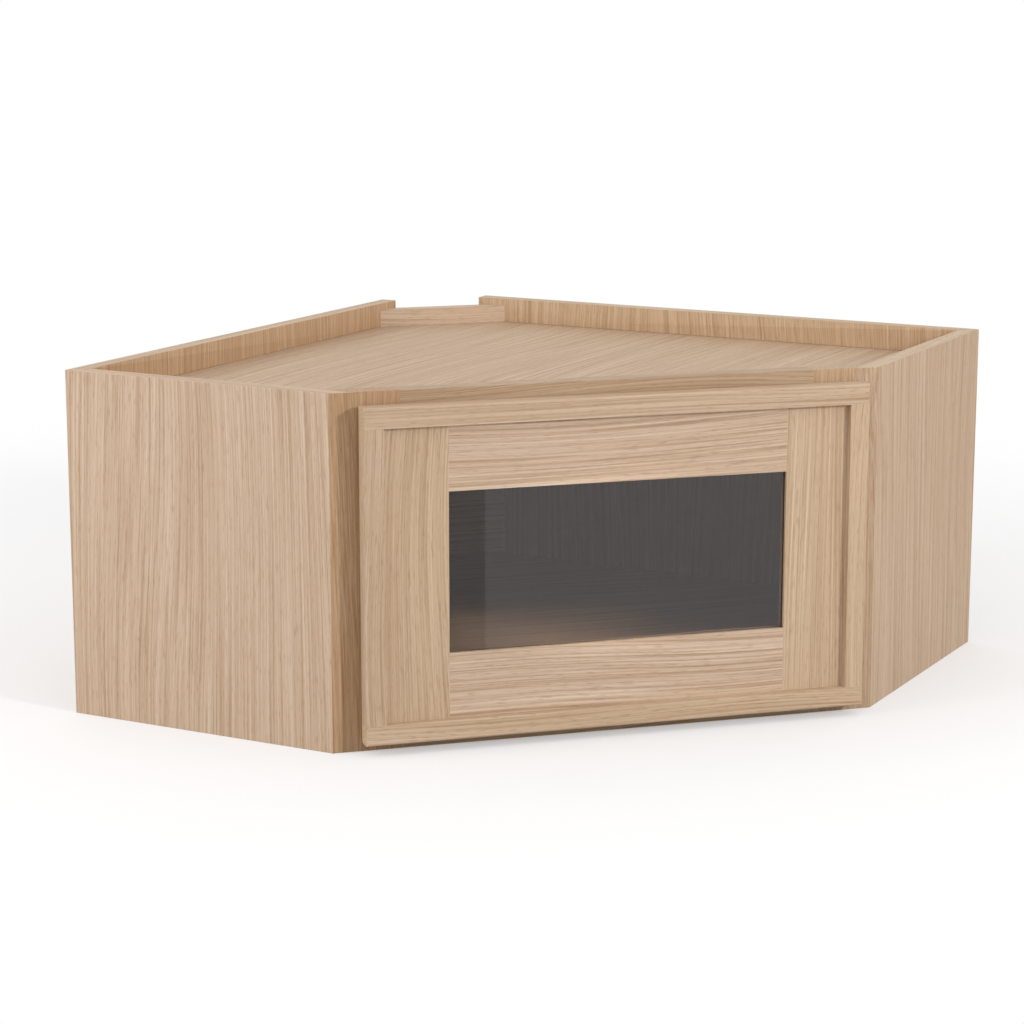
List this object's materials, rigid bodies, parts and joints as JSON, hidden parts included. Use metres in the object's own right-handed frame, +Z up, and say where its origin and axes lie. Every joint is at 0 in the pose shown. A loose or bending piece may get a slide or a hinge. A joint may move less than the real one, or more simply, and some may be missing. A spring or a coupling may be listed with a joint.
{
  "type": "corner wall cabinet",
  "caption": "Low diagonal corner wall cabinet of pale oak plywood, with a face frame and a hinged door that has a raised border and a glass light.",
  "frame": {"origin": "on the floor under the middle of the cabinet's box", "axes": "+Z up, the door faces -Y, +X to the right of someone who faces the door"},
  "size_m": [0.8622, 0.5848, 0.3048],
  "materials": {
    "oak": "satin",
    "dowel": "matte",
    "hinge_steel": "satin",
    "glass": "gloss",
    "bumper": "matte"
  },
  "bodies": {
    "cabinet": {"left_side": "oak", "right_side": "oak", "left_back": "oak", "right_back": "oak", "corner_back": "oak", "top_deck": "oak", "bottom_panel": "oak", "left_stile": "oak", "right_stile": "oak", "top_rail": "oak", "bottom_rail": "oak", "frame_dowels": "dowel", "upper_hinge_arm": "hinge_steel", "lower_hinge_arm": "hinge_steel", "hinge_arm_screws": "hinge_steel"},
    "door": {"door_border_top": "oak", "door_border_bottom": "oak", "door_border_left": "oak", "door_border_right": "oak", "door_stile_left": "oak", "door_stile_right": "oak", "door_rail_top": "oak", "door_rail_bottom": "oak", "door_glass": "glass", "glass_bead_top": "oak", "glass_bead_bottom": "oak", "glass_bead_left": "oak", "glass_bead_right": "oak", "upper_hinge_cup": "hinge_steel", "lower_hinge_cup": "hinge_steel", "upper_hinge_pin": "hinge_steel", "lower_hinge_pin": "hinge_steel", "hinge_cup_screws": "hinge_steel", "door_bumpers": "bumper"}
  },
  "joints": [
    {"name": "door_hinge", "type": "hinge", "parent": "cabinet", "child": "door", "pos_m": [-0.21217, -0.28037, 0.1524], "axis": [0, 0, -1], "range_deg": [0, 100]}
  ]
}
